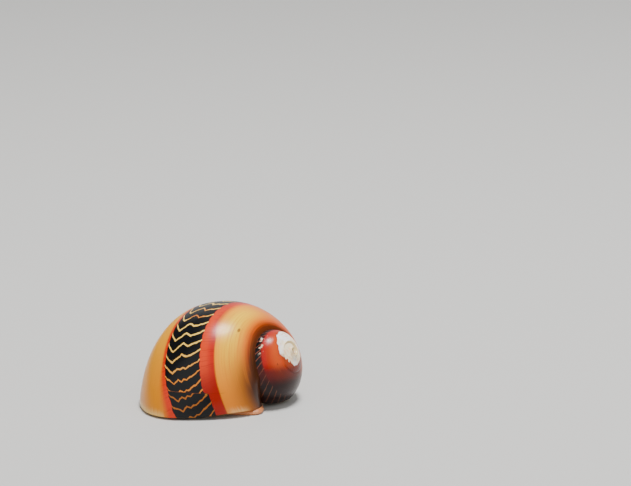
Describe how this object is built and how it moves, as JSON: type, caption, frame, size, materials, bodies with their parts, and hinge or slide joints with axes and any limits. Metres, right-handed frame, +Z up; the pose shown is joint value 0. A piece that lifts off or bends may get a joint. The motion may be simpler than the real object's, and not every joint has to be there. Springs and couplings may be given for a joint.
{
  "type": "nerite snail model",
  "caption": "Life-size still model of a banded nerite snail resting on its foot, with its head and feelers turned out under the far lip of the shell.",
  "frame": {"origin": "middle of the bounding box's bottom, on the floor under the sole", "axes": "+X runs from the head end of the shell towards its spire, +Y away from the picture's camera, +Z up"},
  "size_m": [0.0184, 0.0212, 0.0111],
  "materials": {
    "shell": "glossy living shell, banded orange, red and black",
    "worn_shell": "glossy shell, worn to white chalk at its tip",
    "callus": "smooth shell, satin",
    "operculum": "smooth limy plate, satin",
    "flesh": "moist skin, mottled cream and grey",
    "eye": "black and wet"
  },
  "bodies": {
    "root": {"shell_body_whorl": "shell", "shell_spire": "worn_shell", "columellar_deck": "callus", "operculum": "operculum", "foot": "flesh", "head": "flesh", "snout": "flesh", "tentacle_left_base": "flesh", "tentacle_left_middle": "flesh", "tentacle_left_tip": "flesh", "eyestalk_left": "flesh", "eye_left": "eye", "tentacle_right_base": "flesh", "tentacle_right_middle": "flesh", "tentacle_right_tip": "flesh", "eyestalk_right": "flesh", "eye_right": "eye"}
  },
  "joints": []
}
